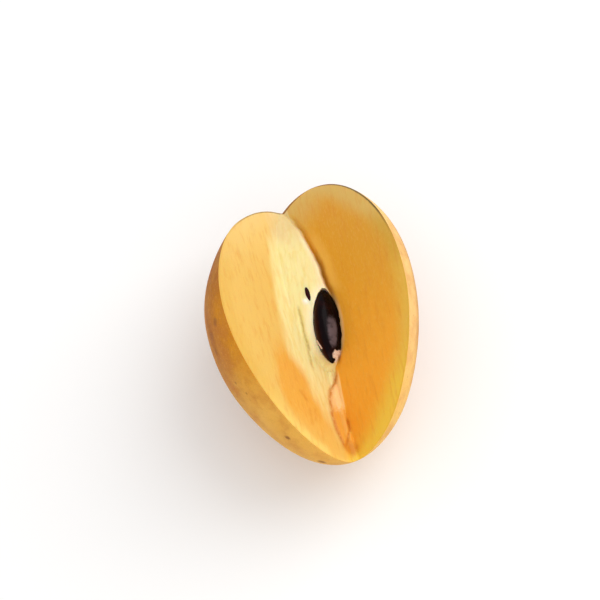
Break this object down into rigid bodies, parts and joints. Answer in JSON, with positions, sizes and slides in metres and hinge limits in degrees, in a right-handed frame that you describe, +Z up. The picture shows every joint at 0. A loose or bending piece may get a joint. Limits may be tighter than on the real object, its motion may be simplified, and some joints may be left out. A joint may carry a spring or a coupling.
{
  "type": "sapodilla",
  "caption": "Egg-shaped brown fruit with a lengthwise wedge cut out, showing orange flesh, a pale core and dark seeds; it lies on its back with the notch upwards.",
  "frame": {"origin": "on the surface that the fruit lies on, below the middle of its box", "axes": "+Z up, out of the notch; +Y along the fruit from its narrow end to its broad stem end; +X across the notch"},
  "size_m": [0.0586, 0.0798, 0.0503],
  "materials": {
    "skin_and_flesh": "matt scurfy skin outside, moist orange flesh on the cuts",
    "seed_coat": "hard glossy dark brown seed coat"
  },
  "bodies": {
    "root": {"fruit": "skin_and_flesh", "full_seed": "seed_coat", "small_seed": "seed_coat"}
  },
  "joints": []
}
